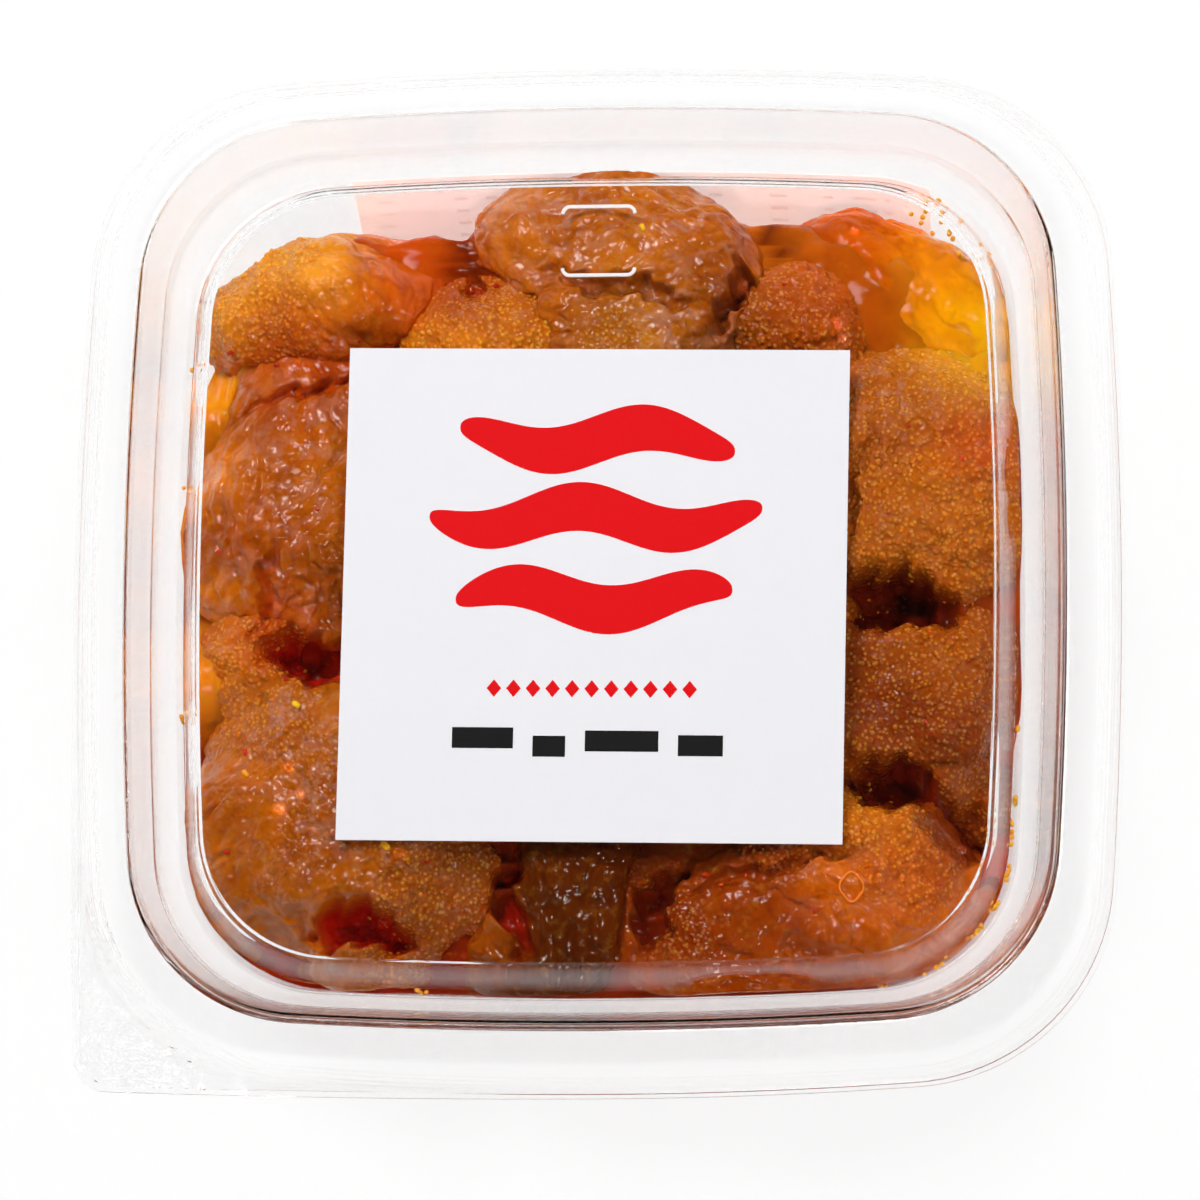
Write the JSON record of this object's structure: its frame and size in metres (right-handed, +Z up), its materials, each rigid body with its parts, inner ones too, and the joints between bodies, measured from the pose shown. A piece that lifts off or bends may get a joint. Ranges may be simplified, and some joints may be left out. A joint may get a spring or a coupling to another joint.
{
  "type": "mentaiko in a clear tub",
  "caption": "Seasoned cod roe sacs packed in a square clear tub with rounded corners, under a clear lid with a pull tab and a square paper label.",
  "frame": {"origin": "centre of the tub's bounding box, on the face that it stands on", "axes": "+Z up through the lid, +Y towards the back label, -Y towards the front with the pull tab at its left corner"},
  "size_m": [0.13, 0.13, 0.0388],
  "materials": {
    "clear_tub": "clear rigid plastic, smooth",
    "clear_lid": "clear rigid plastic, smooth, pebbled on the tab",
    "label_paper": "matt coated paper",
    "back_label_paper": "matt paper",
    "roe_mauve": "wet membrane over roe",
    "roe_amber": "wet membrane over roe",
    "roe_ochre": "wet membrane over roe",
    "roe_gold": "grainy wet roe",
    "roe_olive": "wet membrane over roe"
  },
  "bodies": {
    "root": {"tub": "clear_tub", "lid": "clear_lid", "lid_label": "label_paper", "back_label": "back_label_paper", "roe_back_middle": "roe_mauve", "roe_back_left": "roe_amber", "roe_back_crumb": "roe_gold", "roe_back_right_lump": "roe_gold", "roe_back_right": "roe_amber", "roe_left_middle": "roe_ochre", "roe_left_crumb": "roe_amber", "roe_middle": "roe_ochre", "roe_right_middle": "roe_gold", "roe_right_front": "roe_gold", "roe_right_crumb": "roe_gold", "roe_front_left": "roe_amber", "roe_front_middle": "roe_olive", "roe_front_right": "roe_amber"}
  },
  "joints": []
}
